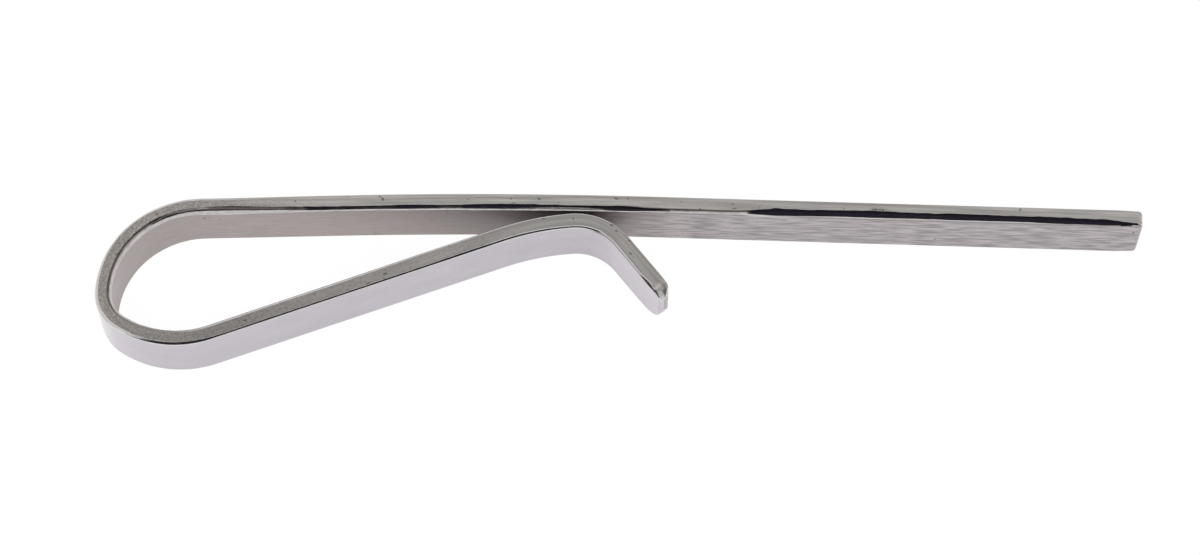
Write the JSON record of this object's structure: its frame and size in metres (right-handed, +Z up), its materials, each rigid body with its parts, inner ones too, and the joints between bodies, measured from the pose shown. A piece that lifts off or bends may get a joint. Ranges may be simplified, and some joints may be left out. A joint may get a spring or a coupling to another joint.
{
  "type": "tie clip",
  "caption": "Slide-on tie clip bent from polished steel strip: slim front bar, spring loop, and sprung arm with a rounded crest and an entry lip.",
  "frame": {"origin": "under the middle of the clip's bounding box, on the plane that its lower edge stands on", "axes": "+X along the front bar from the spring loop to the free end, +Y out of the bar's show face, +Z up the width of the strip"},
  "size_m": [0.0592, 0.0094, 0.0035],
  "materials": {
    "strip": "mirror polish on the outer faces, lengthwise brushing on the bar's inner face, satin on the edges"
  },
  "bodies": {
    "bar": {"front_bar": "strip", "bar_bow": "strip", "bar_root": "strip", "loop_back_bend": "strip", "loop_tight_bend": "strip", "loop_front_bend": "strip"},
    "arm": {"spring_arm": "strip", "arm_rise_bend": "strip", "pressure_crest": "strip", "entry_lip": "strip"}
  },
  "joints": [
    {"name": "arm_flex", "type": "hinge", "parent": "bar", "child": "arm", "pos_m": [-0.02373, -0.00138, 0.00175], "axis": [0, 0, -1], "range_deg": [0, 8], "stiffness_Nm_per_rad": 2, "deforming": ["loop_back_bend", "loop_tight_bend", "loop_front_bend"]}
  ]
}
